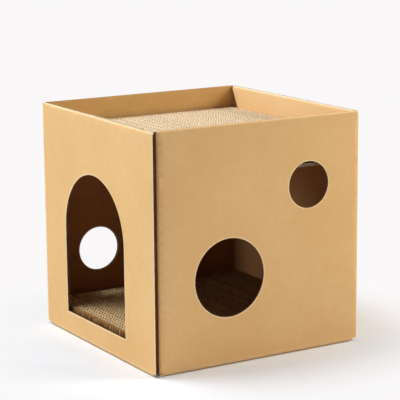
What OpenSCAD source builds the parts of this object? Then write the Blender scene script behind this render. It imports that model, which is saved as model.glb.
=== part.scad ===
// Cardboard cat condo: a square sleeve of corrugated board with an arched doorway and round windows,
// a shelf tray glued in under the rim, and two scratch pads made of board strips on edge.
// Millimetres, +Z up, origin on the floor under the middle of the box.
// The doorway faces -X and the wall with two windows faces -Y.

/* [Shell] */
// Width from the door wall to the right wall, outside
shell_w = 400; // [360:2:460]
// Depth from the front wall to the back wall, outside
shell_d = 394; // [360:2:460]
// Height from the floor to the rim
shell_h = 400; // [396:2:460]
// Thickness of the corrugated board
board_t = 4; // [3:0.25:5]

/* [Doorway] */
// Width of the doorway
door_w = 211; // [150:1:240]
// Shift of the doorway's middle from the middle of the wall, towards the back
door_shift = 7.5; // [-30:0.5:30]
// Height of the sill above the floor
sill_h = 40; // [25:1:70]
// Height of the crown of the arch above the floor
crown_h = 298.5; // [240:0.5:305]

/* [Windows] */
// Diameter of the large front window
large_window_d = 132; // [80:1:150]
// Distance of the large window's centre from the door side
large_window_x = 141.5; // [120:0.5:180]
// Height of the large window's centre
large_window_z = 146.5; // [130:0.5:180]
// Diameter of the small front window
small_window_d = 79; // [50:1:85]
// Distance of the small window's centre from the door side
small_window_x = 297; // [270:0.5:310]
// Height of the small window's centre
small_window_z = 284.5; // [255:0.5:285]
// Diameter of the back window
back_window_d = 79; // [50:1:110]
// Distance of the back window's centre from the door side
back_window_x = 105; // [90:0.5:300]
// Height of the back window's centre
back_window_z = 123.5; // [110:0.5:220]

/* [Tray] */
// Depth from the rim down to the top of the upper pad
recess_depth = 39; // [20:1:60]
// How much a tray flange draws in from its rim down to its foot, at each end
flange_taper = 43; // [0:1:80]
// Gap between the tray's raw edges and the front and back walls
tray_edge_gap = 0.5; // [0.3:0.1:2]
// Thickness of the glue between the tray and the walls
tray_glue_t = 0.5; // [0.3:0.1:1.5]
// Height of a glue strip
tray_glue_h = 25; // [10:1:35]

/* [Pads] */
// Thickness of a scratch pad
pad_t = 38; // [20:1:45]
// Clearance around a pad and around the stiffener in the tray
pad_clearance = 1; // [0.5:0.1:3]
// Thickness of one board strip in a pad
strip_t = 8; // [3:0.25:12]
// Width of the groove between two strips
groove_w = 0.8; // [0.4:0.1:1.5]
// Depth of the groove between two strips
groove_depth = 2; // [0.5:0.25:6]

/* [Glue seam] */
// Width of the glue flap behind the door wall
glue_flap_w = 35; // [20:1:45]
// Taper of the glue flap's ends
glue_flap_taper = 14; // [4:1:30]
// Gap between the door wall's raw edge and the front wall's fold
seam_gap = 4.5; // [0.5:0.25:5]
// Thickness of the glue behind the door wall
seam_glue_t = 0.3; // [0.2:0.05:0.6]

/* [Bottom flaps] */
// Slot between a bottom flap's end and the corner
flap_slot = 5; // [2:0.5:10]
// Depth of the two short flaps, under the door wall and the right wall
short_flap_d = 60; // [30:1:100]
// Gap between the meeting edges of two flaps
flap_gap = 2; // [1:0.5:10]
// Gap at a bottom crease, where the flap turns
crease_gap = 0.3; // [0.2:0.05:0.6]

/* [Hidden] */
$fn = 96;

// Colours of the sunlit and shaded board, the board inside, the pads and the glue
kraft_light = "#EAC48E";
kraft_mid = "#CF9F67";
kraft_inner = "#B98F58";
pad_tone = "#DFC7A2";
glue_tone = "#E9DFC3";

// Overrun of every cut past the faces that it opens
overrun = 1;
// Gap under a loose pad or board
rest_gap = 0.2;
// Free height from the floor up to the glue flap, and from the glue flap up to the rim
glue_flap_foot_gap = 6;
glue_flap_rim_gap = 1;
// Margin from the edge of a glued face to its glue
glue_margin = 8;
// Height from the tray's fold up to its glue strips
tray_glue_lift = 20;
// Distance behind the front wall's fold in which the glue flap leans over
glue_flap_lean = 5;

// Faces of the shell
door_out_x = -shell_w / 2;
right_out_x = shell_w / 2;
front_out_y = -shell_d / 2;
back_out_y = shell_d / 2;
door_in_x = door_out_x + board_t;
right_in_x = right_out_x - board_t;
front_in_y = front_out_y + board_t;
back_in_y = back_out_y - board_t;
inner_w = shell_w - 2 * board_t;
inner_d = shell_d - 2 * board_t;

// Heights of the bottom: the walls' feet over the folded flaps, and the loose board that makes the floor
foot_z = board_t + crease_gap;
base_board_z = board_t + rest_gap;
floor_z = base_board_z + board_t;

// The doorway's straight sides end where the half-round arch springs
spring_h = crown_h - door_w / 2;

// Tray and what lies in it, counted down from the rim
top_pad_z = shell_h - recess_depth - pad_t;
tray_floor_z = top_pad_z - rest_gap - board_t;
tray_z = tray_floor_z - board_t;
tray_base_w = inner_w - 2 * (tray_glue_t + board_t);
tray_base_d = inner_d - 2 * tray_edge_gap;
flange_h = shell_h - tray_floor_z;
flange_foot = tray_base_d - 2 * flange_taper;
bottom_pad_z = floor_z + rest_gap;

// A pad lies between the flanges with its clearance, and its strips run from front to back, clear of the
// place where the glue flap leans over
pad_w = tray_base_w - 2 * pad_clearance;
pad_d = inner_d - 2 * (glue_flap_lean + pad_clearance);
strip_count = round(pad_w / strip_t);
strip_pitch = pad_w / strip_count;

// The front wall folds back into the glue flap, which leans over to the door wall and then lies along it
glue_flap_out_x = door_in_x + seam_glue_t;
seam_fold_x = glue_flap_out_x + seam_gap + board_t;
glue_flap_low_z = floor_z + glue_flap_foot_gap;
glue_flap_high_z = shell_h - glue_flap_rim_gap;

// The door flange stops short of the glue flap, and the tray's base has a notch where the flap leans over
door_flange_end = inner_d / 2 - glue_flap_w - pad_clearance;
notch_x = seam_fold_x + pad_clearance;
notch_y = front_in_y + glue_flap_lean + pad_clearance;

// One quarter of a round fold along +Z, on the -X -Y side of its inner corner
module fold(length) {
    intersection() {
        cylinder(r = board_t, h = length);
        translate([-board_t, -board_t, 0]) cube([board_t, board_t, length]);
    }
}

// The same fold laid along +X, on the -Y -Z side of its inner corner
module fold_along_x(length) {
    translate([-length / 2, 0, 0]) rotate([90, 0, 90]) fold(length);
}

// Round hole through a wall that stands across Y, with its outer face or inner face at y
module window_cut(d, from_door, z, y) {
    translate([door_out_x + from_door, y - overrun, z])
        rotate([-90, 0, 0]) cylinder(d = d, h = board_t + 2 * overrun);
}

// Arched opening through the door wall
module doorway_cut() {
    depth = board_t + 2 * overrun;
    translate([door_out_x - overrun, door_shift, 0]) {
        translate([0, -door_w / 2, sill_h]) cube([depth, door_w, spring_h - sill_h]);
        translate([0, 0, spring_h]) rotate([0, 90, 0]) cylinder(d = door_w, h = depth);
    }
}

// Flap hung on a wall at -Y: its fold and a panel that reaches inwards, top face at z = 0;
// its ends run in at 45 degrees as far as the depth of the taper
module bottom_flap(width, length, taper) {
    end_x = width / 2 - taper;
    translate([0, 0, -board_t]) linear_extrude(height = board_t) polygon([
        [-width / 2, 0], [width / 2, 0], [end_x, taper], [end_x, length], [-end_x, length], [-end_x, taper]
    ]);
    fold_along_x(width);
}

// Upright flange on the tray's -Y side, longer at its rim than at the fold that joins it to the base;
// its rim runs to end_x on the +X side
module tray_flange(end_x) {
    foot_x = min(flange_foot / 2, end_x);
    rotate([90, 0, 0]) linear_extrude(height = board_t) polygon([
        [-flange_foot / 2, 0],
        [foot_x, 0],
        [end_x, flange_h],
        [-tray_base_d / 2, flange_h]
    ]);
    translate([(foot_x - flange_foot / 2) / 2, 0, 0]) fold_along_x(foot_x + flange_foot / 2);
}

// One glue strip on the -Y side, centred, filling the gap behind it
module glue_strip(length) {
    translate([-length / 2, 0, 0]) cube([length, tray_glue_t, tray_glue_h]);
}

// Strips of board stood on edge and glued side by side, with a groove at each glue line
module scratch_pad() {
    grooves = [
        for (i = [strip_count - 1 : -1 : 1])
            let (x = -pad_w / 2 + i * strip_pitch)
            each [
                [x + groove_w / 2, pad_t],
                [x + groove_w / 2, pad_t - groove_depth],
                [x - groove_w / 2, pad_t - groove_depth],
                [x - groove_w / 2, pad_t]
            ]
    ];
    outline = concat(
        [[-pad_w / 2, 0], [pad_w / 2, 0], [pad_w / 2, pad_t]],
        grooves,
        [[-pad_w / 2, pad_t]]
    );
    rotate([90, 0, 0]) linear_extrude(height = pad_d, center = true) polygon(outline);
}

// Wall with the arched doorway; its raw edge closes the glued corner
module door_wall() {
    color(kraft_light) difference() {
        translate([door_out_x, front_out_y, foot_z])
            cube([board_t, shell_d - board_t, shell_h - foot_z]);
        doorway_cut();
    }
}

// Wall with two windows, the fold towards the glue flap and the fold towards the right wall
module front_wall() {
    wall_h = shell_h - foot_z;
    color(kraft_mid) difference() {
        translate([0, 0, foot_z]) {
            translate([seam_fold_x, front_out_y, 0]) cube([right_in_x - seam_fold_x, board_t, wall_h]);
            translate([seam_fold_x, front_in_y, 0]) fold(wall_h);
            translate([right_in_x, front_in_y, 0]) rotate([0, 0, 90]) fold(wall_h);
        }
        window_cut(large_window_d, large_window_x, large_window_z, front_out_y);
        window_cut(small_window_d, small_window_x, small_window_z, front_out_y);
    }
}

// Plain wall, with the fold towards the back wall
module right_wall() {
    wall_h = shell_h - foot_z;
    color(kraft_mid) translate([right_in_x, 0, foot_z]) {
        translate([0, front_in_y, 0]) cube([board_t, inner_d, wall_h]);
        translate([0, back_in_y, 0]) rotate([0, 0, 180]) fold(wall_h);
    }
}

// Wall with one window, and the fold towards the door wall
module back_wall() {
    wall_h = shell_h - foot_z;
    color(kraft_mid) difference() {
        translate([door_in_x, back_in_y, foot_z]) {
            cube([inner_w, board_t, wall_h]);
            rotate([0, 0, -90]) fold(wall_h);
        }
        window_cut(back_window_d, back_window_x, back_window_z, back_in_y);
    }
}

// One panel of the tapered glue flap, cut from the flap's side outline by the panel's plan
module glue_flap_panel(plan) {
    translate([glue_flap_out_x, front_in_y, 0]) intersection() {
        translate([0, 0, glue_flap_low_z])
            linear_extrude(height = glue_flap_high_z - glue_flap_low_z) polygon(plan);
        translate([-overrun, 0, 0]) rotate([90, 0, 90])
            linear_extrude(height = board_t + seam_gap + 2 * overrun) polygon([
                [0, glue_flap_low_z],
                [glue_flap_w, glue_flap_low_z + glue_flap_taper],
                [glue_flap_w, glue_flap_high_z - glue_flap_taper],
                [0, glue_flap_high_z]
            ]);
    }
}

// Creased strip that leans over from the front wall's fold to the door wall
module glue_crease() {
    color(kraft_inner) glue_flap_panel([
        [seam_gap, 0],
        [seam_gap + board_t, 0],
        [board_t, glue_flap_lean],
        [0, glue_flap_lean]
    ]);
}

// Flap beyond the creased strip, glued behind the door wall
module glue_flap() {
    color(kraft_inner) glue_flap_panel([
        [0, glue_flap_lean],
        [board_t, glue_flap_lean],
        [board_t, glue_flap_w],
        [0, glue_flap_w]
    ]);
}

// Glue between the glue flap and the door wall
module seam_glue() {
    low_z = glue_flap_low_z + glue_flap_taper;
    high_z = glue_flap_high_z - glue_flap_taper;
    color(glue_tone) translate([door_in_x, front_in_y + glue_margin, low_z])
        cube([seam_glue_t, glue_flap_w - 2 * glue_margin, high_z - low_z]);
}

// Long flaps under the front wall and the back wall, which meet in the middle
module long_flap() {
    color(kraft_mid) translate([0, front_in_y, board_t])
        bottom_flap(inner_w - 2 * flap_slot, (inner_d - flap_gap) / 2, short_flap_d - flap_slot);
}

module front_bottom_flap() {
    long_flap();
}

module back_bottom_flap() {
    rotate([0, 0, 180]) long_flap();
}

// Short flaps under the door wall and the right wall, level with the long ones
module short_flap() {
    depth = short_flap_d - flap_gap;
    color(kraft_inner) translate([door_in_x, 0, board_t]) rotate([0, 0, -90])
        bottom_flap(inner_d - 2 * flap_slot, depth, depth);
}

module door_bottom_flap() {
    short_flap();
}

module right_bottom_flap() {
    rotate([0, 0, 180]) short_flap();
}

// Base of the tray, level with the lower edge of its two folds; its front and back edges are raw
module tray_base() {
    color(kraft_inner) translate([0, 0, tray_z]) linear_extrude(height = board_t) polygon([
        [notch_x, -tray_base_d / 2],
        [tray_base_w / 2, -tray_base_d / 2],
        [tray_base_w / 2, tray_base_d / 2],
        [-tray_base_w / 2, tray_base_d / 2],
        [-tray_base_w / 2, notch_y],
        [notch_x, notch_y]
    ]);
}

module tray_door_flange() {
    color(kraft_light) translate([-tray_base_w / 2, 0, tray_floor_z]) rotate([0, 0, -90])
        tray_flange(door_flange_end);
}

module tray_right_flange() {
    color(kraft_light) translate([tray_base_w / 2, 0, tray_floor_z]) rotate([0, 0, 90])
        tray_flange(tray_base_d / 2);
}

// Two strips of glue that hold the tray's flanges to the door wall and the right wall
module tray_glue() {
    color(glue_tone) translate([0, 0, tray_floor_z + tray_glue_lift]) {
        translate([door_in_x, 0, 0]) rotate([0, 0, -90]) glue_strip(flange_foot - 2 * glue_margin);
        translate([right_in_x, 0, 0]) rotate([0, 0, 90]) glue_strip(flange_foot - 2 * glue_margin);
    }
}

// Loose board laid in the tray under the pad, its flutes across those of the base
module shelf_stiffener() {
    color(kraft_inner) translate([-pad_w / 2, -pad_d / 2, tray_floor_z]) cube([pad_w, pad_d, board_t]);
}

// Upper pad on the stiffener
module top_pad() {
    color(pad_tone) translate([0, 0, top_pad_z]) scratch_pad();
}

// Loose board laid on the bottom flaps, and the lower pad on it
module base_board() {
    color(kraft_inner) translate([-pad_w / 2, -pad_d / 2, base_board_z]) cube([pad_w, pad_d, board_t]);
}

module bottom_pad() {
    color(pad_tone) translate([0, 0, bottom_pad_z]) scratch_pad();
}

door_wall();
front_wall();
right_wall();
back_wall();
glue_crease();
glue_flap();
seam_glue();
front_bottom_flap();
back_bottom_flap();
door_bottom_flap();
right_bottom_flap();
tray_base();
tray_door_flange();
tray_right_flange();
tray_glue();
shelf_stiffener();
top_pad();
base_board();
bottom_pad();
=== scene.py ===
"""Cardboard cat condo of corrugated board, with a shelf tray, bottom flaps and two scratch pads."""

import math

import bmesh
import bpy
import numpy as np
from mathutils import Matrix, Vector
from mathutils.geometry import delaunay_2d_cdt

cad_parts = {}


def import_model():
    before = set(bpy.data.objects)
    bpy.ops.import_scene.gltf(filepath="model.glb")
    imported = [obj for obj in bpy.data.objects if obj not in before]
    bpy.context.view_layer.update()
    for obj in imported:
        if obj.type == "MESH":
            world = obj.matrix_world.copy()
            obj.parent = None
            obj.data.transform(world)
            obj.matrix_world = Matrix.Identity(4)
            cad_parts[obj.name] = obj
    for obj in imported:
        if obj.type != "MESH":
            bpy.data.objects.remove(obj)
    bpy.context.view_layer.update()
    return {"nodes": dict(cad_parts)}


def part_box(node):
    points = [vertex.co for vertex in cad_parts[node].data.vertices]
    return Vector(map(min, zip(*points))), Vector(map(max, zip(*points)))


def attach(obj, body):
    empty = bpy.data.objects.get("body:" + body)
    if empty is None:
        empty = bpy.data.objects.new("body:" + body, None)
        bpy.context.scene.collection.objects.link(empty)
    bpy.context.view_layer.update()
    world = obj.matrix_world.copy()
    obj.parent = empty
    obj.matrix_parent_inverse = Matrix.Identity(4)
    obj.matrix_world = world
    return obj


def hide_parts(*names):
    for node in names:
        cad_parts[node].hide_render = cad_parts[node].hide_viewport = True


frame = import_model()

# Lengths of the object are millimetres, in the frame of the solids
MM = 0.001


def corners(node):
    """Lowest and highest corner of a node's solid, to the micrometre."""
    return [np.round(np.array(corner) / MM, 3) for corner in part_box(node)]


# Faces, foot and rim of the walls; a foot stands over the round fold of its bottom flap
(DOOR_OUT, FRONT_OUT, FOOT), (DOOR_IN, BACK_IN, RIM) = corners("door_wall")
BOARD = DOOR_IN - DOOR_OUT
FRONT_IN = FRONT_OUT + BOARD
RIGHT_IN = corners("right_wall")[0][0]
WALL_H = RIM - FOOT
# Height of the shelf's floor
SHELF = corners("tray_base")[1][2]

# Round windows: place of the middle along the wall, its height, and radius
LARGE_WINDOW = (-58.5, 146.5, 66.0)
SMALL_WINDOW = (97.0, 284.5, 39.5)
BACK_WINDOW = (-95.0, 123.5, 39.5)
LARGE_POINTS, SMALL_POINTS = 96, 72
# Doorway: place of its middle, half its width, and the heights of its sill and of the foot of its arch
DOORWAY_Y, DOORWAY_R = 7.5, 105.5
SILL, SPRING = 40.0, 193.0
ARCH_POINTS = 73

# Corrugated board: thickness of its liners and of the fluted sheet between them, and the flutes' pitch
HALF_T = BOARD / 2
LINER = 0.45
MEDIUM = 0.5
FLUTE = 7.0
FLUTE_STEPS = 8
FLUTE_AMP = HALF_T - LINER - MEDIUM / 2
# Angle at which the flutes of each board start
PHASES = {
    "front_wall": 0.4, "door_wall": 1.9, "right_wall": 2.7, "back_wall": 0.9, "glue_flap": 0.0,
    "front_bottom_flap": 0.3, "back_bottom_flap": 1.1, "door_bottom_flap": 2.2, "right_bottom_flap": 0.8,
    "tray_base": 0.5, "tray_door_flange": 2.6, "tray_right_flange": 0.7,
    "shelf_stiffener": 1.7, "base_board": 0.6,
}

# Right-angled fold: length of the outer liner round it, the least radius inside it, and the lines of points
# that follow it
QUARTER = math.pi / 2
ARC = QUARTER * BOARD
FOLD_CORE = 0.15
FOLD_LINES = (5.3, ARC, ARC + 1.5)

# How far the middle of each wall bows outwards
FRONT_BOW, DOOR_BOW, RIGHT_BOW, BACK_BOW = 0.5, 0.7, 0.6, 0.6
# The door wall's rim dips towards the glued corner, and its raw edge there is a little crushed
RIM_DIP, RIM_DIP_REACH = 2.5, 80.0
CRUSH_SHARE, CRUSH_REACH = 0.22, 4.0

# Glued corner: the flap behind the door wall, the creased strip that leans over to it, and the slot in front
crease_low, crease_high = corners("glue_crease")
flap_low, flap_high = corners("glue_flap")
SEAM_X = corners("front_wall")[0][0] + BOARD
SEAM_GAP = crease_high[0] - flap_high[0]
GLUE_LEAN = crease_high[1] - FRONT_IN
GLUE_TAPER = 14.0
# Room between the glue flap and the notch in the tray's base
NOTCH_CLEAR = 1.0

# Depth of the slanted ends of the tray's flanges, and of the flaps that aren't slanted all the way
FLANGE_TAPER = 43.0
FLAP_TAPERS = {"front": 55.0, "back": 55.0}


# Outlines and nets of points
def smooth(t):
    """Soft step from 0 to 1."""
    t = np.clip(t, 0.0, 1.0)
    return t * t * (3 - 2 * t)


def rect(u0, u1, v0, v1):
    """Corners of a rectangle."""
    return np.array([(u0, v0), (u1, v0), (u1, v1), (u0, v1)], float)


def circle(u, v, r, count):
    """Points of a circle."""
    a = np.linspace(0, 2 * math.pi, count, endpoint=False)
    return np.stack([u + r * np.cos(a), v + r * np.sin(a)], 1)


def chord(centre_v, r):
    """Half the width of a circle at a height, as a function of that height."""
    return lambda v: np.sqrt(np.maximum(r * r - (v - centre_v) ** 2, 0.0))


def const(value):
    """Function that gives one value at every height."""
    return lambda v: value


def densify(loop, step):
    """Loop with more points along its longer sides."""
    out = []
    for a, b in zip(loop, np.roll(loop, -1, 0)):
        k = max(1, math.ceil(np.linalg.norm(b - a) / step))
        out += [a + (b - a) * i / k for i in range(k)]
    return np.array(out)


def inset(loop, d):
    """Loop moved by d to its left side, with mitred corners."""
    ahead = np.roll(loop, -1, 0) - loop
    ahead /= np.linalg.norm(ahead, axis=1)[:, None]
    back = np.roll(ahead, 1, 0)
    n1 = np.stack([-back[:, 1], back[:, 0]], 1)
    n2 = np.stack([-ahead[:, 1], ahead[:, 0]], 1)
    return loop + (n1 + n2) * (d / (1 + (n1 * n2).sum(1)))[:, None]


def inside(points, loop):
    """Which points lie inside a loop, by counting crossings."""
    x, y = points.T
    found = np.zeros(len(points), bool)
    for (x0, y0), (x1, y1) in zip(loop, np.roll(loop, -1, 0)):
        if y0 != y1:
            found ^= ((y0 > y) != (y1 > y)) & (x < (x1 - x0) * (y - y0) / (y1 - y0) + x0)
    return found


def in_panel(points, outline, holes):
    """Which points lie inside a panel and outside its holes."""
    found = inside(points, outline)
    for hole in holes:
        found &= ~inside(points, hole)
    return found


def loop_distance(points, loop):
    """Distance of each point to the nearest side of a loop."""
    best = np.full(len(points), math.inf)
    for a, b in zip(loop, np.roll(loop, -1, 0)):
        d = b - a
        t = np.clip(((points - a) @ d) / (d @ d), 0, 1)
        best = np.minimum(best, np.linalg.norm(points - a - t[:, None] * d, axis=1))
    return best


# Net of a panel: distances of its rings from each edge, spacing along a ring, and the grid further in
RINGS = (0.0, 0.4, 0.9, 1.7, 2.6, 4.0)
RING_STEP = 8.0
GRID_STEP = 16.0
GRID_CLEAR = 4.6
# Edge distance noted for the points of the grid, and the distance under which points become one
FAR_IN = 100.0
NET_CLOSE = 1e-5


def edge_rings(loops):
    """Points, edge distances and edges of the rings along every loop, and the indices of the loops."""
    pts, depth, edges, rims = [], [], [], []
    for loop in loops:
        k = len(loop)
        for ring in RINGS:
            start = len(pts)
            pts += list(inset(loop, ring))
            depth += [ring] * k
            edges += [(start + i, start + (i + 1) % k) for i in range(k)]
            if ring == 0.0:
                rims.append(range(start, start + k))
    return pts, depth, edges, rims


def grid_points(outline, holes, loops, cols, rows):
    """Grid over a panel, clear of its rings, with extra columns and rows."""
    low, high = outline.min(0), outline.max(0)
    us = sorted(set(np.arange(low[0], high[0], GRID_STEP)) | set(cols))
    vs = sorted(set(np.arange(low[1], high[1], GRID_STEP)) | set(rows))
    points = np.array([(u, v) for u in us for v in vs])
    keep = in_panel(points, outline, holes)
    for loop in loops:
        keep &= loop_distance(points, loop) > GRID_CLEAR
    return points[keep]


def net(outline, holes, cols, rows):
    """Flat triangle net of a panel: points, their edge distance, triangles, and the indices of its loops."""
    loops = [densify(outline, RING_STEP)] + [densify(h, RING_STEP)[::-1] for h in holes]
    pts, depth, edges, rims = edge_rings(loops)
    grid = grid_points(outline, holes, loops, cols, rows)
    pts += list(grid)
    depth += [FAR_IN] * len(grid)
    out, _, tris, origin, _, _ = delaunay_2d_cdt([Vector(p) for p in pts], edges, [], 0, NET_CLOSE)
    out = np.array([tuple(p) for p in out])
    index = {source: i for i, many in enumerate(origin) for source in many}
    dist = np.array([depth[many[0]] if many else FAR_IN for many in origin])
    tris = np.array(tris)
    good = in_panel(out[tris].mean(1), outline, holes)
    return out, dist, tris[good], [[index[i] for i in rim] for rim in rims]


# Faces that meet at less than these angles, in degrees, are shaded smoothly
BOARD_SMOOTH, PAD_SMOOTH = 38, 50


class Build:
    """Gathers the vertices and faces of one mesh."""

    def __init__(self):
        self.verts, self.edge, self.tone = [], [], []
        self.faces, self.mats = [], []
        self.count = 0

    def add(self, verts, faces, mat, edge=0.0, tone=0.0):
        """Adds faces of one material, or of a list of them, with the attributes that the papers read."""
        verts = np.asarray(verts, float)
        self.verts.append(verts)
        self.edge.append(np.broadcast_to(np.asarray(edge, float), len(verts)))
        self.tone.append(np.full(len(verts), tone))
        self.faces += [tuple(int(i) + self.count for i in face) for face in faces]
        self.mats += [mat] * len(faces) if np.isscalar(mat) else list(mat)
        self.count += len(verts)

    def mesh(self, name, mats, smooth_angle):
        """Makes the mesh, with its materials and attributes, and links it to the scene."""
        me = bpy.data.meshes.new(name)
        me.from_pydata((np.concatenate(self.verts) * MM).tolist(), [], self.faces)
        me.polygons.foreach_set("material_index", np.array(self.mats, np.int32))
        for key, values in (("edge", self.edge), ("tone", self.tone)):
            layer = me.attributes.new(key, "FLOAT", "POINT")
            layer.data.foreach_set("value", np.concatenate(values).astype(np.float32))
        bm = bmesh.new()
        bm.from_mesh(me)
        bmesh.ops.recalc_face_normals(bm, faces=bm.faces)
        bm.to_mesh(me)
        bm.free()
        for m in mats:
            me.materials.append(m)
        me.shade_smooth()
        me.set_sharp_from_angle(angle=math.radians(smooth_angle))
        ob = bpy.data.objects.new(name, me)
        bpy.context.scene.collection.objects.link(ob)
        return ob


# Material slots of a board: outer face, inner face, medium, cut edge of a liner, cut edge of the medium,
# inner face above the shelf, a lighter copy of the inner paper as painted light
OUTER, INNER, MID, CUT, ENDS, INNER_LIT = range(6)
# Roll of a liner at a cut edge, and the bend of one liner towards the other at a rim
ROLL, ROLL_REACH = 0.25, 1.2
RIM_CLOSE, RIM_REACH = 3.0, 4.0
# Distances from a cut edge at which the paler edge is full and at which it ends; the paler edge is partly
# wear of the cut fibres and partly a painted highlight
EDGE_FULL, EDGE_REACH = 0.9, 2.6
# No roll and no paler edge, which is wear and painted highlight, where a board runs on in another and on
# rims kept plain: the reach of that, and its share with none at all
JOIN_REACH = 4.0
JOIN_NONE_SHARE = 0.02
# Distances of the fluted sheet from a cut edge and from a rim
MEDIUM_BACK = 0.35
RIM_BACK = 0.05
# Points of the fluted sheet: least room between a row and the end of a band, how far the end rows lie inside
# the band, the least width of the sheet, and the steps along a flute
ROW_CLEAR = 0.1
BAND_BACK = 0.01
LEAST_SPAN = 0.5
MEDIUM_SEGS = 14


def rounded(n, below_rim, side):
    """Height over the board's middle with the liner on one side bent in towards a rim."""
    bend = RIM_CLOSE * np.clip(1 - below_rim / RIM_REACH, 0, 1) ** 2
    share = np.clip((n * side + HALF_T) / BOARD, 0, 1)
    return n - side * bend * share


def liners(build, place, outline, holes, cols, rows, rim, joined, lit_above):
    """Both liners of a panel as thin closed sheets; joined lists the edges that run on in another panel, and
    rims kept free of the paler edge and its painted highlight.
    """
    pts, dist, tris, rims = net(outline, holes, cols, rows)
    u, v = pts.T
    k = len(pts)
    free = np.ones(k)
    for axis, at in joined:
        away = np.abs((u if axis == "u" else v) - at)
        free *= np.clip(away / JOIN_REACH - JOIN_NONE_SHARE, 0, 1) ** 0.5
    roll = ROLL * free * np.clip(1 - dist / ROLL_REACH, 0, 1) ** 2
    edge = free * np.clip((EDGE_REACH - dist) / (EDGE_REACH - EDGE_FULL), 0, 1)
    quads = [(a, b, b + k, a + k) for loop in rims for a, b in zip(loop, loop[1:] + loop[:1])]
    faces = [*tris, *(tris[:, ::-1] + k), *quads]
    # Inner faces above the shelf take a lighter copy of the inner paper: painted light from the open top
    inner = np.where(v[tris].mean(1) > lit_above, INNER_LIT, INNER)
    outer = np.full(len(tris), OUTER)
    for side, shown, cut in ((1, outer, CUT), (-1, inner, INNER)):
        layers = [side * (HALF_T - roll), np.full(k, side * (HALF_T - LINER))]
        if rim:
            layers = [rounded(n, rim[0] - v, rim[1]) for n in layers]
        verts = np.concatenate([place(u, v, n) for n in layers])
        mats = [*shown, *[MID] * len(tris), *[cut] * len(quads)]
        build.add(verts, faces, mats, np.concatenate([edge, np.zeros(k)]))


def sheet_solid(build, top, low):
    """Closed thin solid between two grids of points."""
    rows, cols = top.shape[:2]
    k = rows * cols
    at = np.arange(k).reshape(rows, cols)
    quads = np.stack([at[:-1, :-1], at[:-1, 1:], at[1:, 1:], at[1:, :-1]], -1).reshape(-1, 4)
    ring = [*at[0], *at[1:, -1], *at[-1, -2::-1], *at[-2:0:-1, 0]]
    sides = [(b, a, a + k, b + k) for a, b in zip(ring, ring[1:] + ring[:1])]
    mats = [MID] * (2 * len(quads)) + [ENDS] * len(sides)
    build.add(np.concatenate([top.reshape(-1, 3), low.reshape(-1, 3)]),
              [*quads, *(quads[:, ::-1] + k), *sides], mats)


def flute_rows(v0, v1):
    """Rows of points across the flutes of a band, on a raster that all bands share."""
    step = FLUTE / FLUTE_STEPS
    first, last = math.ceil((v0 + ROW_CLEAR) / step), math.floor((v1 - ROW_CLEAR) / step)
    return np.concatenate([[v0 + BAND_BACK], np.arange(first, last + 1) * step, [v1 - BAND_BACK]])


def medium(build, place, left, right, bands, phase, rim):
    """Fluted sheet between the liners; each band of v is whole or split round an opening."""
    t = np.linspace(0, 1, MEDIUM_SEGS + 1)
    for v0, v1, split in bands:
        vs = flute_rows(v0, v1)
        start, end = (np.broadcast_to(side(vs), vs.shape) for side in (left, right))
        spans = [(start, end)]
        if split:
            centre, half = split
            back = half(vs) + MEDIUM_BACK
            spans = [(start, centre - back), (centre + back, end)]
        for low_u, high_u in spans:
            u = low_u[:, None] + (high_u - low_u)[:, None] * t
            v = np.repeat(vs[:, None], len(t), 1)
            n = FLUTE_AMP * np.sin(2 * math.pi * v / FLUTE + phase)
            layers = [n + MEDIUM / 2, n - MEDIUM / 2]
            if rim:
                layers = [rounded(h, rim[0] - v, rim[1]) for h in layers]
            sides = [place(u.ravel(), v.ravel(), h.ravel()).reshape(*u.shape, 3) for h in layers]
            sheet_solid(build, *sides)


def board(name, nodes, body, place, outline, mats, holes=(), bands=None, cols=(), rows=(), rim=None,
          span=None, joined=(), lit_above=math.inf):
    """One panel of corrugated board that stands for one or more CAD nodes.

    place(u, v, n) gives the points of the panel: u along the flutes, v across them, n out of the board.
    bands and span bound the fluted sheet. cols and rows are extra lines of points. rim is the height of a
    pressed rim, with the side that bends. joined lists the edges that run on in another panel, and rims kept
    free of the paler edge and its painted highlight. Above a given height the inner face takes a lighter
    copy of its paper, as painted light.
    """
    build = Build()
    liners(build, place, outline, list(holes), cols, rows, rim, joined, lit_above)
    low, high = outline.min(0), outline.max(0)
    left, right = span or (const(low[0] + MEDIUM_BACK), const(high[0] - MEDIUM_BACK))
    bands = bands or [(low[1] + MEDIUM_BACK, high[1] - MEDIUM_BACK, None)]
    medium(build, place, left, right, bands, PHASES[nodes[-1]], rim)
    ob = build.mesh(name, mats, BOARD_SMOOTH)
    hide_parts(*nodes)
    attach(ob, body)
    return ob


# Materials; colours are written as display values from 0 to 255
def colour(r, g, b):
    """Linear colour of a display colour."""
    def lin(c):
        c /= 255
        return c / 12.92 if c <= 0.04045 else ((c + 0.055) / 1.055) ** 2.4
    return (lin(r), lin(g), lin(b), 1.0)


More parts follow.
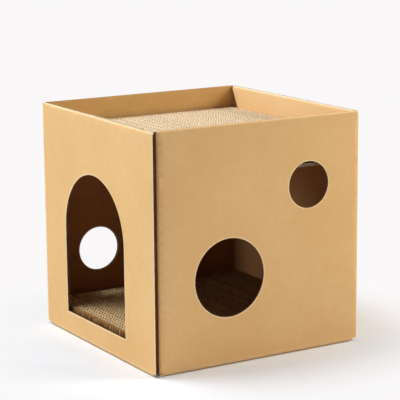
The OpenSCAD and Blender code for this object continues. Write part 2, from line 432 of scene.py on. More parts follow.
class Nodes:
    """Small helper that adds shader nodes and links them."""

    def __init__(self, name):
        self.mat = bpy.data.materials.new(name)
        self.mat.use_nodes = True
        self.tree = self.mat.node_tree
        self.tree.nodes.clear()
        self.out = self.tree.nodes.new("ShaderNodeOutputMaterial")

    def put(self, socket, value):
        """Links another socket to this one, or sets its value."""
        if isinstance(value, bpy.types.NodeSocket):
            self.tree.links.new(value, socket)
        else:
            socket.default_value = value

    def add(self, kind, inputs=None, **props):
        """Adds a node and fills its inputs and properties."""
        node = self.tree.nodes.new("ShaderNode" + kind)
        for key, value in props.items():
            setattr(node, key, value)
        for key, value in (inputs or {}).items():
            self.put(node.inputs[key], value)
        return node

    def math(self, op, a, b=0.0):
        """Sum, product or the like of two values."""
        return self.add("Math", {0: a, 1: b}, operation=op).outputs[0]

    def ramp(self, value, low, high, to_low=0.0, to_high=1.0):
        """Maps the range low to high to the range to_low to to_high, and stays inside it."""
        return self.add("MapRange", {"Value": value, "From Min": low, "From Max": high,
                                     "To Min": to_low, "To Max": to_high}).outputs["Result"]

    def mix(self, fac, a, b):
        """Mixes two colours; they are inputs 6 and 7 of the node, and the mixed colour is output 2."""
        node = self.add("Mix", data_type="RGBA")
        self.put(node.inputs[0], fac)
        self.put(node.inputs[6], a)
        self.put(node.inputs[7], b)
        return node.outputs[2]

    def noise(self, vector, scale, detail, rough=0.5, stretch=(1, 1, 1)):
        """Noise in space, squeezed along the axes by a factor each."""
        place = self.add("Mapping", {"Vector": vector, "Scale": stretch})
        return self.add("TexNoise", {"Vector": place.outputs[0], "Scale": scale, "Detail": detail,
                                     "Roughness": rough}).outputs["Fac"]

    def attribute(self, name):
        """Value that the vertices of a mesh carry."""
        return self.add("Attribute", attribute_name=name).outputs["Fac"]

    def finish(self, tone, bump, roughness, **gloss):
        """Joins the tone, the bump and the roughness in one shader, and gives the material."""
        bsdf = self.add("BsdfPrincipled", {"Base Color": tone, "Normal": bump.outputs[0],
                                           "Roughness": roughness})
        for key, value in gloss.items():
            bsdf.inputs[key].default_value = value
        self.put(self.out.inputs[0], bsdf.outputs[0])
        return self.mat


# Gloss of the papers, the stretch of their fibres along Z, and the colour of the specks in them
SMOOTH_GLOSS, RAW_GLOSS = {"Specular IOR Level": 0.25}, {"Specular IOR Level": 0.2}
FIBRE_STRETCH = (1, 1, 0.12)
SPECK = (120, 82, 48)
# Scale of the fine grain on fluted sheets, on cut edges, on the pads' strips and on the strips' cut tops
SHEET_GRAIN, EDGE_GRAIN, STRIP_GRAIN, TOP_GRAIN = 900.0, 700.0, 420.0, 330.0
# Where the fuzz on a strip starts and where it is full: 0 at its foot, 1 at its cut top
FUZZ_FROM, FUZZ_TO = 0.3, 0.75


def paper(name, base, dark, light, edge_wear_and_highlight, edge_wear_and_highlight_share=0.75):
    """Kraft paper: cloudy tone, fibres, specks, a faint washboard of the flutes, and paler cut edges that
    are partly wear and partly a painted highlight.
    """
    base, dark, light, edge_wear_and_highlight = (colour(*rgb) for rgb in (base, dark, light, edge_wear_and_highlight))
    n = Nodes(name)
    where = n.add("TexCoord").outputs["Object"]
    cloud = n.noise(where, scale=7.0, detail=3.0, rough=0.55)
    mottle = n.noise(where, scale=70.0, detail=4.0, rough=0.6)
    strands = n.noise(where, scale=1500.0, detail=2.0, rough=0.6, stretch=FIBRE_STRETCH)
    grit = n.noise(where, scale=2400.0, detail=1.0)
    patches = n.noise(where, scale=160.0, detail=3.0)
    tone = n.mix(n.ramp(cloud, 0.3, 0.7), dark, light)
    tone = n.mix(0.55, tone, base)
    tone = n.mix(n.ramp(mottle, 0.35, 0.7, 0.0, 0.35), tone, dark)
    tone = n.mix(n.ramp(strands, 0.45, 0.75, 0.0, 0.5), tone, light)
    tone = n.mix(n.ramp(grit, 0.66, 0.78, 0.0, 0.35), tone, colour(*SPECK))
    # Paler cut edges: partly wear and partly a painted highlight along every free edge and hole
    edge_wear_and_highlight_mask = n.math("MULTIPLY", n.attribute("edge"), n.ramp(patches, 0.25, 0.6, 0.55, 1.0))
    tone = n.mix(n.math("MULTIPLY", edge_wear_and_highlight_mask, edge_wear_and_highlight_share), tone, edge_wear_and_highlight)
    up = n.add("SeparateXYZ", {0: where}).outputs["Z"]
    ridge = n.math("SINE", n.math("MULTIPLY", up, 2 * math.pi / (FLUTE * MM)))
    height = n.math("ADD", n.math("MULTIPLY", strands, 0.55), n.math("MULTIPLY", ridge, 0.5))
    height = n.math("ADD", height, n.math("MULTIPLY", mottle, 0.6))
    bump = n.add("Bump", {"Strength": 0.35, "Distance": 0.00018, "Height": height})
    return n.finish(tone, bump, n.ramp(mottle, 0.2, 0.8, 0.76, 0.9), **SMOOTH_GLOSS)


def raw_paper(name, base, dark, light, grain=SHEET_GRAIN, dull_and_shade=None, dull_and_shade_share=0.0, fuzz=None):
    """Cut edges and fluted sheets: uneven tone and a rough surface, with fuzz near a scratched top."""
    base, dark, light = (colour(*rgb) for rgb in (base, dark, light))
    n = Nodes(name)
    where = n.add("TexCoord").outputs["Object"]
    broad = n.noise(where, scale=55.0, detail=3.0, rough=0.6)
    fine = n.noise(where, scale=grain, detail=3.0, rough=0.65)
    tone = n.mix(n.ramp(fine, 0.3, 0.7), dark, light)
    tone = n.mix(n.ramp(broad, 0.3, 0.7, 0.2, 0.75), tone, base)
    # Duller tone by the tone attribute: random per strip, and on the lower pad also painted shade that
    # darkens away from the doorway
    if dull_and_shade:
        tone = n.mix(n.math("MULTIPLY", n.attribute("tone"), dull_and_shade_share), tone, colour(*dull_and_shade))
    if fuzz:
        tone = n.mix(n.ramp(n.attribute("edge"), FUZZ_FROM, FUZZ_TO), tone, colour(*fuzz))
    bump = n.add("Bump", {"Strength": 0.5, "Distance": 0.0003, "Height": fine})
    return n.finish(tone, bump, n.ramp(broad, 0.2, 0.8, 0.85, 0.96), **RAW_GLOSS)


def glue_material():
    """Hot-melt glue: pale, waxy and slightly uneven."""
    n = Nodes("hot_melt_glue")
    where = n.add("TexCoord").outputs["Object"]
    cloud = n.noise(where, scale=90.0, detail=3.0)
    drips = n.noise(where, scale=320.0, detail=2.0)
    tone = n.mix(n.ramp(cloud, 0.3, 0.7), colour(222, 208, 172), colour(240, 232, 206))
    bump = n.add("Bump", {"Strength": 0.4, "Distance": 0.0004, "Height": drips})
    return n.finish(tone, bump, n.ramp(cloud, 0.2, 0.8, 0.3, 0.5))


def shades(rgb, low, high):
    """A colour with a darker and a lighter one."""
    return rgb, [c * low for c in rgb], [min(c * high, 255) for c in rgb]


def pad_papers(name, liner, flute, cut, fuzz, dull_and_shade, dull_and_shade_share, opened):
    """The papers of a pad, from the middle colour of each, and the colour of its duller strips, which on the
    lower pad is the painted shade of strips far from the doorway.
    """
    return [raw_paper(name + "_liner", *shades(liner, 0.88, 1.1), STRIP_GRAIN, fuzz=fuzz),
            raw_paper(name + "_fluting", *shades(flute, 0.84, 1.12), STRIP_GRAIN, fuzz=fuzz),
            raw_paper(name + "_cut_edge", *shades(cut, 0.84, 1.06), TOP_GRAIN, dull_and_shade, dull_and_shade_share),
            raw_paper(name + "_open_flutes", *shades(opened, 0.84, 1.1), STRIP_GRAIN)]


# Papers, each from its middle, dark and light colour; a liner also has the colour of its paler cut edges,
# partly wear and partly a painted highlight, and the share of it that shows
KRAFT = paper("kraft_outer", (236, 187, 124), (228, 176, 112), (242, 198, 138), (255, 226, 176),
              edge_wear_and_highlight_share=0.9)
# Paler copy of the outer kraft for the tray's flanges: painted light on the flanges inside the rim
KRAFT_FLANGE_LIT = paper("kraft_flange_lit", (250, 208, 150), (244, 198, 138), (253, 217, 164), (255, 236, 198),
                   edge_wear_and_highlight_share=0.9)
# Inner liner: partly the darker paper of an inner liner and partly painted shade of the closed box
KRAFT_IN = paper("kraft_inner", (154, 96, 50), (140, 84, 42), (168, 110, 60), (216, 172, 120))
# Right wall's inner face: a lighter copy of the inner paper, painted light that falls in through the doorway
KRAFT_IN_RIGHT_LIT = paper("kraft_inner_right_lit", (176, 118, 68), (162, 105, 58), (190, 132, 80), (222, 180, 130))
# Lighter copy of the inner paper for the inner faces above the shelf: painted light from the open top
KRAFT_INNER_LIT = paper("kraft_inner_lit_above_shelf", (206, 162, 100), (194, 150, 88), (216, 174, 112), (226, 190, 136))
# Outer face of the glue flap, dark brown: painted shade that makes the slot of the glued corner read as a
# deep gap
KRAFT_SEAM_PAINTED_SHADE = paper("kraft_seam_painted_shade", (112, 58, 28), (96, 48, 22), (128, 70, 36), (150, 96, 58))
FLUTING = raw_paper("fluting_medium", (112, 68, 38), (92, 54, 28), (132, 84, 48))
CUT_EDGE = raw_paper("cut_edge", (238, 204, 160), (206, 162, 116), (252, 226, 188), EDGE_GRAIN)
CUT_FLUTING = raw_paper("cut_fluting", (150, 92, 56), (122, 70, 40), (178, 116, 76), EDGE_GRAIN)
# Brighter cut edge of the tray's base: a painted highlight where the base shows behind the small window
TRAY_EDGE_LIT = raw_paper("tray_cut_edge_painted_light", (255, 232, 186), (238, 204, 150), (255, 242, 206), EDGE_GRAIN)

# Papers of the boards, in the order of a board's slots
WALL = [KRAFT, KRAFT_IN, FLUTING, CUT_EDGE, CUT_FLUTING, KRAFT_INNER_LIT]
RIGHT_WALL = [KRAFT, KRAFT_IN_RIGHT_LIT, FLUTING, CUT_EDGE, CUT_FLUTING]
# Glue flap: its outer face is drawn in the painted shade of the slot
SEAM = [KRAFT_SEAM_PAINTED_SHADE, KRAFT_IN, FLUTING, CUT_EDGE, CUT_FLUTING]
TRAY = [KRAFT, KRAFT, FLUTING, TRAY_EDGE_LIT, TRAY_EDGE_LIT]
# Tray flanges: both faces in the paler copy of the kraft, painted light
TRAY_SIDE = [KRAFT_FLANGE_LIT, KRAFT_FLANGE_LIT, FLUTING, CUT_EDGE, CUT_FLUTING]
# Loose boards: their liners' cut edges take the darker cut-fluting paper, painted shade on the stiffener's
# edge behind the small window
LOOSE = [KRAFT, KRAFT, FLUTING, CUT_FLUTING, FLUTING]


# Places of points on folded boards
def fold_radius(n):
    """Radius about the inner line of a fold."""
    return np.maximum(HALF_T + n, FOLD_CORE)


def far_fold(total):
    """Lines of points that follow a fold at the far end of a board."""
    return [total - line for line in FOLD_LINES]


def bow(depth, along_share, v):
    """How far a point of a wall bows outwards."""
    return depth * np.sin(math.pi * along_share) * np.sin(math.pi * v / WALL_H)


def turned(x, y, z, turn, shift):
    """Points turned about Z and moved into place."""
    c, s = math.cos(turn), math.sin(turn)
    return np.stack([x * c - y * s + shift[0], x * s + y * c + shift[1], z + shift[2]], 1)


def bands_round(windows):
    """Bands of a wall's fluted sheet from its foot to its rim, split where a round window is."""
    bands, low = [], MEDIUM_BACK
    for u, v, r in windows:
        bands += [(low, v - r, None), (v - r, v + r, (u, chord(v, r)))]
        low = v + r
    return bands + [(low, WALL_H - RIM_BACK, None)]


def front_wall():
    """Two-window wall with the fold beside the door wall's raw edge and the fold to the right wall."""
    flat = RIGHT_IN - SEAM_X
    total = 2 * ARC + flat

    def place(u, v, n):
        a = np.clip(u, 0, ARC) / BOARD
        b = np.clip(u - ARC - flat, 0, ARC) / BOARD
        along = np.clip(u - ARC, 0, flat)
        out_x = -np.cos(a) * (u < ARC) + np.sin(b) * (u > ARC + flat)
        out_y = -np.where(u < ARC, np.sin(a), np.cos(b))
        r = fold_radius(n) + bow(FRONT_BOW, along / flat, v)
        return np.stack([SEAM_X + along + out_x * r, FRONT_IN + out_y * r, FOOT + v], 1)

    windows = [(ARC + x - SEAM_X, z - FOOT, r) for x, z, r in (LARGE_WINDOW, SMALL_WINDOW)]
    holes = [circle(*window, count) for window, count in zip(windows, (LARGE_POINTS, SMALL_POINTS))]
    return board("front_wall_board", ("front_wall",), "shell", place, rect(0, total, 0, WALL_H), WALL, holes,
                 bands_round(windows), [*FOLD_LINES, *far_fold(total)], (SHELF - FOOT,), rim=(WALL_H, 1),
                 joined=(("u", 0), ("u", total), ("v", 0), ("v", WALL_H)), lit_above=SHELF - FOOT)


def door_wall():
    """Wall with the arched doorway; its rim dips a little towards the glued corner."""
    length = BACK_IN - FRONT_OUT
    middle = DOORWAY_Y - FRONT_OUT
    sill, spring = SILL - FOOT, SPRING - FOOT
    crown = spring + DOORWAY_R

    def place(u, v, n):
        dip = RIM_DIP * (1 - u / length) * smooth((v - WALL_H + RIM_DIP_REACH) / RIM_DIP_REACH)
        n = n * (1 - CRUSH_SHARE * np.clip(1 - u / CRUSH_REACH, 0, 1) ** 1.5)
        x = DOOR_OUT + HALF_T - n - bow(DOOR_BOW, u / length, v)
        return np.stack([x, FRONT_OUT + u, FOOT + v - dip], 1)

    def half(v):
        return np.where(v < spring, DOORWAY_R, chord(spring, DOORWAY_R)(v))

    a = np.linspace(0, math.pi, ARCH_POINTS)
    arch = np.stack([middle + DOORWAY_R * np.cos(a), spring + DOORWAY_R * np.sin(a)], 1)
    hole = np.concatenate([[(middle - DOORWAY_R, sill), (middle + DOORWAY_R, sill)], arch])
    bands = [(MEDIUM_BACK, sill, None), (sill, crown, (middle, half)), (crown, WALL_H - RIM_BACK, None)]
    return board("door_wall_board", ("door_wall",), "shell", place, rect(0, length, 0, WALL_H), WALL, [hole],
                 bands, rim=(WALL_H, 1), span=(const(RIM_BACK), const(length - MEDIUM_BACK)),
                 joined=(("u", length), ("v", 0)))


def right_wall():
    """Plain wall with the fold to the back wall."""
    flat = BACK_IN - FRONT_IN
    total = flat + ARC

    def place(u, v, n):
        a = np.clip(u - flat, 0, ARC) / BOARD
        along = np.clip(u, 0, flat)
        r = fold_radius(n) + bow(RIGHT_BOW, along / flat, v)
        return np.stack([RIGHT_IN + np.cos(a) * r, FRONT_IN + along + np.sin(a) * r, FOOT + v], 1)

    return board("right_wall_board", ("right_wall",), "shell", place, rect(0, total, 0, WALL_H), RIGHT_WALL,
                 cols=far_fold(total), rim=(WALL_H, 1), joined=(("u", 0), ("u", total), ("v", 0)))


def back_wall():
    """Wall with one window and the fold to the door wall."""
    flat = RIGHT_IN - DOOR_IN
    total = flat + ARC

    def place(u, v, n):
        a = np.clip(u - flat, 0, ARC) / BOARD
        along = np.clip(u, 0, flat)
        r = fold_radius(n) + bow(BACK_BOW, along / flat, v)
        return np.stack([RIGHT_IN - along - np.sin(a) * r, BACK_IN + np.cos(a) * r, FOOT + v], 1)

    x, z, r = BACK_WINDOW
    window = (RIGHT_IN - x, z - FOOT, r)
    return board("back_wall_board", ("back_wall",), "shell", place, rect(0, total, 0, WALL_H), WALL,
                 [circle(*window, SMALL_POINTS)], bands_round([window]), far_fold(total), (SHELF - FOOT,),
                 rim=(WALL_H, 1), joined=(("u", 0), ("u", total), ("v", 0), ("v", WALL_H)),
                 lit_above=SHELF - FOOT)


def glue_flap():
    """Tapered flap behind the door wall, with the creased strip that leans over to it."""
    low, high = crease_low[2], crease_high[2]
    width = flap_high[1] - FRONT_IN
    middle_x = (flap_low[0] + flap_high[0]) / 2

    def place(u, v, n):
        lean = SEAM_GAP * np.clip(1 - u / GLUE_LEAN, 0, 1)
        return np.stack([middle_x - n + lean, FRONT_IN + u, v], 1)

    def reach(v):
        tapered = np.minimum(v - low, high - v) * width / GLUE_TAPER
        return np.maximum(np.minimum(width, tapered) - MEDIUM_BACK, LEAST_SPAN)

    outline = np.array([(0, low), (width, low + GLUE_TAPER), (width, high - GLUE_TAPER), (0, high)], float)
    return board("glue_flap_board", ("glue_crease", "glue_flap"), "shell", place, outline, SEAM,
                 cols=(GLUE_LEAN,), span=(const(MEDIUM_BACK), reach), joined=(("u", 0),))


def bottom_flap(side, turn, x, y):
    """Flap hung on a wall at -Y: round fold, then a panel with slanted ends; turned and moved into place."""
    node = f"{side}_bottom_flap"
    low, high = corners(node)
    depth, width = sorted((high - low)[:2])
    length = depth - BOARD
    taper = FLAP_TAPERS.get(side, length)
    half = width / 2

    def place(u, v, n):
        a = np.clip(v, 0, ARC) / BOARD
        r = fold_radius(n)
        out = -np.cos(a) * r * (v < ARC) + np.clip(v - ARC, 0, None)
        down = -np.where(v < ARC, np.sin(a) * r, r)
        return turned(u, out, down, turn, (x, y, BOARD))

    def reach(v):
        return half - np.clip(v - ARC, 0, taper) - MEDIUM_BACK

    edge = [(half, 0), (half, ARC), (half - taper, ARC + taper)]
    if taper < length:
        edge.append((half - taper, ARC + length))
    outline = np.array(edge + [(-u, v) for u, v in edge[::-1]], float)
    return board(f"{side}_flap_board", (node,), f"{side}_flap", place, outline, WALL, rows=FOLD_LINES,
                 span=(lambda v: -reach(v), reach), joined=(("v", 0),))


def tray_flange(side, turn, x):
    """Upright flange on the tray's -Y side: the fold to the base, then a panel that widens up to its rim."""
    node = f"tray_{side}_flange"
    low, high = corners(node)
    rise = RIM - SHELF
    top = ARC + rise
    end, start = -low[1], -high[1]
    half_foot = high[1] - FLANGE_TAPER

    def place(u, v, n):
        a = np.clip(v, 0, ARC) / BOARD
        r = fold_radius(n)
        out = -np.where(v < ARC, np.sin(a), 1.0) * r
        up = -np.cos(a) * r * (v < ARC) + np.clip(v - ARC, 0, None)
        return turned(u, out, up, turn, (x, 0, SHELF))

    def share(v):
        return np.clip((v - ARC) / rise, 0, 1)

    def left(v):
        return -half_foot + (start + half_foot) * share(v) + MEDIUM_BACK

    def right(v):
        return half_foot + (end - half_foot) * share(v) - MEDIUM_BACK

    outline = np.array([(-half_foot, 0), (half_foot, 0), (half_foot, ARC), (end, top), (start, top),
                        (-half_foot, ARC)], float)
    return board(node + "_board", (node,), "shell", place, outline, TRAY_SIDE, rows=FOLD_LINES,
                 rim=(top, -1), span=(left, right), joined=(("v", 0),))


def tray_base():
    """Base of the tray, its flutes along Y, with a notch beside the glue flap."""
    low, high = corners("tray_base")
    half_v, half_u = high[:2]
    notch_v = SEAM_X + NOTCH_CLEAR
    notch_u = FRONT_IN + GLUE_LEAN + NOTCH_CLEAR

    def place(u, v, n):
        return np.stack([v, u, low[2] + HALF_T + n], 1)

    def left(v):
        return MEDIUM_BACK + np.where(v < notch_v + MEDIUM_BACK, notch_u, -half_u)

    outline = np.array([(notch_u, -half_v), (half_u, -half_v), (half_u, half_v), (-half_u, half_v),
                        (-half_u, notch_v), (notch_u, notch_v)], float)
    return board("tray_base_board", ("tray_base",), "shell", place, outline, TRAY,
                 span=(left, const(half_u - MEDIUM_BACK)))


def loose_board(node, body):
    """Flat board that lies loose, its flutes along X."""
    low, high = corners(node)

    def place(u, v, n):
        return np.stack([u, v, low[2] + HALF_T + n], 1)

    return board(node + "_sheet", (node,), body, place, rect(low[0], high[0], low[1], high[1]), LOOSE)


# Scratch pads: strips of board on edge, each a liner and a fluted sheet
pad_low, pad_high = corners("top_pad")
PAD_HALF_X, PAD_HALF_Y = pad_high[:2]
PAD_T = pad_high[2] - pad_low[2]
STRIPS = 48
STRIP = 2 * PAD_HALF_X / STRIPS
PAD_WAVES = 44
PAD_FLUTE = 2 * PAD_HALF_Y / PAD_WAVES
PAD_STEPS = 8
PAD_LINER_POINTS = 90
# Thickness of a strip's liner and fluted sheet, plain and at the frayed tops of the upper and the lower pad
PAD_LINER, PAD_MEDIUM = 0.8, 0.5
UPPER_TOPS, LOWER_TOPS = (2.8, 2.5), (2.6, 2.1)
# Height of the frayed top, and the edge attribute at its foot
FRAY, FRAY_FOOT_SHARE = 1.8, 0.35
# Slow drift of the flutes along a strip: angle, length of one radian of it, and the last angle it starts at
DRIFT, DRIFT_LENGTH, DRIFT_START = 0.3, 23.0, 6.28
# How far the tops lie below the pad's height: a whole strip, and each point of it
FLUTE_LOW, FLUTE_RAGGED = (0.1, 0.5), 0.6
LINER_LOW, LINER_RAGGED = (0, 0.3), 0.5
# Torn pieces of liner that still stick to the open flutes next to the door: half width, thickness, and how
# far they start above the pad's foot and end below its top
TORN_HALF, TORN_T = 1.5, 0.25
TORN_WIDTH_SHARES = (0.5, 1)
TORN_FOOT, TORN_TOP = (0, 16), (0.4, 5)
# Strips of the lower pad over which it darkens away from the doorway, as painted shade of the closed box,
# and the random part of that darkening
SHADE_FROM_STRIP, SHADE_TO_STRIP = 7, 25
SHADE_RANDOM_SHARE = 0.14
UPPER_SEED, LOWER_SEED = 11, 23
# Material slots of a pad: liner faces, fluted faces, cut edges, open flutes next to the door
P_LINER, P_FLUTE, P_CUT, P_OPEN = range(4)
UPPER_PAPERS = pad_papers("pad_upper", liner=(226, 172, 120), flute=(212, 150, 96), cut=(248, 219, 180),
                          fuzz=(246, 214, 172), dull_and_shade=(212, 183, 148), dull_and_shade_share=0.25,
                          opened=(230, 178, 120))
# The lower pad is the same board as the upper one, drawn as a shaded copy: its liners, fluted faces and fuzz
# darker as painted shade of the closed box, its open flutes by the door lighter than its other flutes as
# painted light from the doorway, and its dull colour the painted shade of strips far from the doorway
LOWER_PAPERS_SHADED = pad_papers("pad_lower_shaded", liner=(150, 98, 56), flute=(178, 110, 54), cut=(246, 206, 148),
                          fuzz=(140, 92, 52), dull_and_shade=(114, 73, 40), dull_and_shade_share=1.0, opened=(202, 140, 72))
# Corners of a box, by x, y and z from low to high, that make its faces
BOX_FACES = ((0, 1, 3, 2), (4, 6, 7, 5), (0, 4, 5, 1), (2, 3, 7, 6), (0, 2, 6, 4), (1, 5, 7, 3))


def ribbon(build, x, y, thick, flare, z_low, z_top, side_mat, tone):
    """Upright strip of paper along a line of points, thicker where its top is frayed."""
    k = len(x)
    dx, dy = np.gradient(x), np.gradient(y)
    size = np.hypot(dx, dy)
    nx, ny = dy / size, -dx / size

    def row(half, z):
        return np.stack([x + nx * half, np.clip(y + ny * half, -PAD_HALF_Y, PAD_HALF_Y), z], 1)

    low, neck = np.full(k, z_low), z_top - FRAY
    rows = [row(-thick / 2, low), row(thick / 2, low), row(thick / 2, neck), row(flare / 2, z_top),
            row(-flare / 2, z_top), row(-thick / 2, neck)]
    faces, mats = [], []
    for a, mat in enumerate((P_CUT, side_mat, side_mat, P_CUT, side_mat, side_mat)):
        b = (a + 1) % len(rows)
        faces += [(a * k + c, b * k + c, b * k + c + 1, a * k + c + 1) for c in range(k - 1)]
        mats += [mat] * (k - 1)
    first = [a * k for a in range(len(rows))]
    faces += [first[::-1], [c + k - 1 for c in first]]
    mats += [P_CUT, P_CUT]
    edge = np.repeat([0.0, 0.0, FRAY_FOOT_SHARE, 1.0, 1.0, FRAY_FOOT_SHARE], k)
    build.add(np.concatenate(rows), faces, mats, edge, tone)


def torn_liner(build, x, y, top, z0, rng):
    """Torn pieces of a peeled liner on the crests of the open flutes."""
    crests = np.flatnonzero((x[1:-1] < x[:-2]) & (x[1:-1] < x[2:])) + 1
    for i in crests:
        face = x[i] - PAD_MEDIUM / 2
        xs = (face - TORN_T, face + PAD_MEDIUM / 2)
        ys = (y[i] - TORN_HALF * rng.uniform(*TORN_WIDTH_SHARES),
              y[i] + TORN_HALF * rng.uniform(*TORN_WIDTH_SHARES))
        zs = (z0 + rng.uniform(*TORN_FOOT), top[i] - rng.uniform(*TORN_TOP))
        build.add([(a, b, c) for a in xs for b in ys for c in zs], BOX_FACES, P_CUT, 1.0, rng.uniform(0, 1))


def scratch_pad(name, node, body, seed, mats, tops, shaded_away_from_door=False):
    """Strips of board on edge, glued face to face; the strip next to the door shows its open flutes."""
    rng = np.random.default_rng(seed)
    build = Build()
    z0 = corners(node)[0][2]
    y = np.linspace(-PAD_HALF_Y, PAD_HALF_Y, PAD_WAVES * PAD_STEPS + 1)
    y_liner = np.linspace(-PAD_HALF_Y, PAD_HALF_Y, PAD_LINER_POINTS)
    liner_top, medium_top = tops
    room = STRIP - liner_top

    def tone(i):
        chance = rng.uniform(0, 1)
        if not shaded_away_from_door:
            return chance
        # Painted shade: strips far from the doorway are drawn duller and darker
        door_shade = float(smooth((i - SHADE_FROM_STRIP) / (SHADE_TO_STRIP - SHADE_FROM_STRIP)))
        return SHADE_RANDOM_SHARE * chance + (1 - SHADE_RANDOM_SHARE) * door_shade

    for i in range(STRIPS):
        left = -PAD_HALF_X + i * STRIP
        opened = i == 0
        phase = rng.uniform(0, 2 * math.pi)
        drift = DRIFT * np.sin(y / DRIFT_LENGTH + rng.uniform(0, DRIFT_START))
        amp = room / 2 - PAD_MEDIUM if opened else (room - medium_top) / 2
        x = left + room / 2 + amp * np.sin(2 * math.pi * y / PAD_FLUTE + phase + drift)
        top = z0 + PAD_T - rng.uniform(*FLUTE_LOW) - rng.uniform(0, FLUTE_RAGGED, len(y))
        flare, paper_slot = (2 * PAD_MEDIUM, P_OPEN) if opened else (medium_top, P_FLUTE)
        ribbon(build, x, y, PAD_MEDIUM, flare, z0, top, paper_slot, tone(i))
        if opened:
            torn_liner(build, x, y, top, z0, rng)
        x = np.full_like(y_liner, left + STRIP - liner_top / 2)
        top = z0 + PAD_T - rng.uniform(*LINER_LOW) - rng.uniform(0, LINER_RAGGED, len(y_liner))
        ribbon(build, x, y_liner, PAD_LINER, liner_top, z0, top, P_LINER, tone(i))
    ob = build.mesh(name, mats, PAD_SMOOTH)
    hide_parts(node)
    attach(ob, body)
    return ob


def dress_glue():
    """Gives the glue strips, which are shown as they are, their material."""
    glue = glue_material()
    for node in ("seam_glue", "tray_glue"):
        mats = frame["nodes"][node].data.materials
        for i in range(len(mats)):
            mats[i] = glue


def build_parts():
    """Makes every piece of the object."""
    front_wall()
    door_wall()
    right_wall()
    back_wall()
    glue_flap()
    bottom_flap("front", 0.0, 0.0, FRONT_IN)
    bottom_flap("back", math.pi, 0.0, BACK_IN)
    bottom_flap("door", -QUARTER, DOOR_IN, 0.0)
    bottom_flap("right", QUARTER, RIGHT_IN, 0.0)
    tray_base()
    tray_low, tray_high = corners("tray_base")
    tray_flange("door", -QUARTER, tray_low[0])
    tray_flange("right", QUARTER, tray_high[0])
    loose_board("shelf_stiffener", "stiffener")
    loose_board("base_board", "base")
    scratch_pad("top_pad_strips", "top_pad", "upper_pad", UPPER_SEED, UPPER_PAPERS, UPPER_TOPS)
    scratch_pad("bottom_pad_strips", "bottom_pad", "lower_pad", LOWER_SEED, LOWER_PAPERS_SHADED, LOWER_TOPS,
                shaded_away_from_door=True)
    dress_glue()


# Camera and studio, in metres and watts; the sensor's width in millimetres
CAMERA_AT = (-1.431, -2.389, 0.808)
CAMERA_AZ, CAMERA_DOWN, CAMERA_ROLL = math.radians(31.0), math.radians(11.62), math.radians(-0.51)
FOCAL_PIXELS, FRAME_PIXELS, SENSOR = 1635.0, 400.0, 36.0
# Soft studio light: a little even light, and three lamps that point at the middle of the object
AMBIENT = (0.9, 1.0, 1.12, 1.0)
AMBIENT_LEVEL = 0.1
LAMP_TARGET = Vector((0, 0, 0.2))
# Each lamp: direction from the object, distance, size, watts, tint
LAMPS = {"key": ((-0.41, 0.34, 0.85), 2.6, 1.8, 65.0, (0.96, 1.0, 1.06)),
         "fill": ((0.72, -0.45, 0.53), 2.2, 1.2, 36.0, (1.0, 0.99, 0.97)),
         "side": ((-0.99, -0.08, 0.13), 2.2, 0.4, 9.5, (0.8, 1.0, 1.2))}
# Background, and the floor that fades into it between two distances from the middle
WHITE = colour(250, 248, 248)
FLOOR_TONES = (colour(243, 243, 243), colour(245, 245, 245))
FLOOR_R, FLOOR_POINTS = 3.0, 96
FLOOR_DROP = 0.0012
FADE_FROM, FADE_TO = 0.22, 0.5


def camera():
    """Camera at the photograph's viewing angle."""
    data = bpy.data.cameras.new("camera")
    data.sensor_width = SENSOR
    data.lens = FOCAL_PIXELS / FRAME_PIXELS * SENSOR
    ob = bpy.data.objects.new("camera", data)
    bpy.context.scene.collection.objects.link(ob)
    az, down, roll = CAMERA_AZ, CAMERA_DOWN, CAMERA_ROLL
    ahead = Vector((math.sin(az) * math.cos(down), math.cos(az) * math.cos(down), -math.sin(down)))
    right = Vector((math.cos(az), -math.sin(az), 0))
    up = right.cross(ahead)
    right, up = right * math.cos(roll) + up * math.sin(roll), up * math.cos(roll) - right * math.sin(roll)
    turn = Matrix((right, up, -ahead)).transposed().to_4x4()
    ob.matrix_world = Matrix.Translation(CAMERA_AT) @ turn
    bpy.context.scene.camera = ob


def lamp(name, way, far, size, watts, tint):
    """Round soft light that points at the object."""
    data = bpy.data.lights.new(name, "AREA")
    data.shape = "DISK"
    data.size = size
    data.energy = watts
    data.color = tint
    ob = bpy.data.objects.new(name, data)
    bpy.context.scene.collection.objects.link(ob)
    away = Vector(way).normalized() * far
    turn = (-away).to_track_quat("-Z", "Y").to_matrix().to_4x4()
    ob.matrix_world = Matrix.Translation(LAMP_TARGET + away) @ turn


def seen_directly(tree):
    """Factor that is one for camera, glossy and transmission rays."""
    path = tree.nodes.new("ShaderNodeLightPath")
    total = path.outputs["Is Camera Ray"]
    for key in ("Is Glossy Ray", "Is Transmission Ray"):
        node = tree.nodes.new("ShaderNodeMath")
        node.operation = "MAXIMUM"
        tree.links.new(total, node.inputs[0])
        tree.links.new(path.outputs[key], node.inputs[1])
        total = node.outputs[0]
    return total


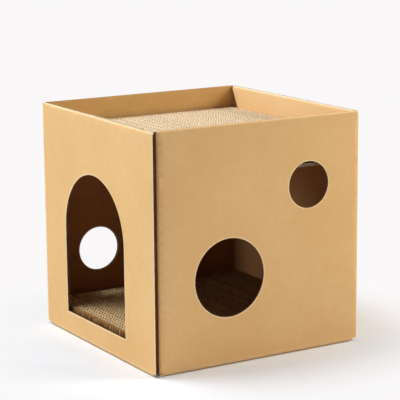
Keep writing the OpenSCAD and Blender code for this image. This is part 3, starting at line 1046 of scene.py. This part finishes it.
def world():
    """Even light, and a white background for the rays that see it directly."""
    w = bpy.data.worlds.new("studio")
    bpy.context.scene.world = w
    w.use_nodes = True
    tree = w.node_tree
    tree.nodes.clear()
    out = tree.nodes.new("ShaderNodeOutputWorld")
    light = tree.nodes.new("ShaderNodeBackground")
    light.inputs[0].default_value = AMBIENT
    light.inputs[1].default_value = AMBIENT_LEVEL
    shown = tree.nodes.new("ShaderNodeBackground")
    shown.inputs[0].default_value = WHITE
    shown.inputs[1].default_value = 1.0
    mix = tree.nodes.new("ShaderNodeMixShader")
    tree.links.new(seen_directly(tree), mix.inputs[0])
    tree.links.new(light.outputs[0], mix.inputs[1])
    tree.links.new(shown.outputs[0], mix.inputs[2])
    tree.links.new(mix.outputs[0], out.inputs[0])


def floor_material():
    """Matte floor that glows as the background does where it is far from the object."""
    n = Nodes("floor_pale")
    where = n.add("TexCoord").outputs["Object"]
    matte = n.add("BsdfDiffuse", {"Color": n.mix(n.noise(where, scale=3.0, detail=2.0), *FLOOR_TONES)})
    glow = n.add("Emission", {"Color": WHITE, "Strength": 1.0})
    far = n.add("VectorMath", {0: where}, operation="LENGTH").outputs["Value"]
    fade = n.add("MapRange", {"Value": far, "From Min": FADE_FROM, "From Max": FADE_TO},
                 interpolation_type="SMOOTHSTEP").outputs["Result"]
    fac = n.math("MULTIPLY", fade, seen_directly(n.tree))
    mix = n.add("MixShader", {0: fac, 1: matte.outputs[0], 2: glow.outputs[0]})
    n.put(n.out.inputs[0], mix.outputs[0])
    return n.mat


def floor():
    """Pale floor that keeps the shadow near the object and fades into the white background."""
    me = bpy.data.meshes.new("floor")
    bm = bmesh.new()
    bmesh.ops.create_circle(bm, cap_ends=True, segments=FLOOR_POINTS, radius=FLOOR_R)
    bmesh.ops.translate(bm, verts=bm.verts, vec=(0, 0, -FLOOR_DROP))
    bm.to_mesh(me)
    bm.free()
    me.materials.append(floor_material())
    ob = bpy.data.objects.new("floor", me)
    bpy.context.scene.collection.objects.link(ob)


camera()
world()
floor()
for lamp_name, setting in LAMPS.items():
    lamp(lamp_name, *setting)
build_parts()

bpy.context.scene.view_settings.view_transform = "Standard"
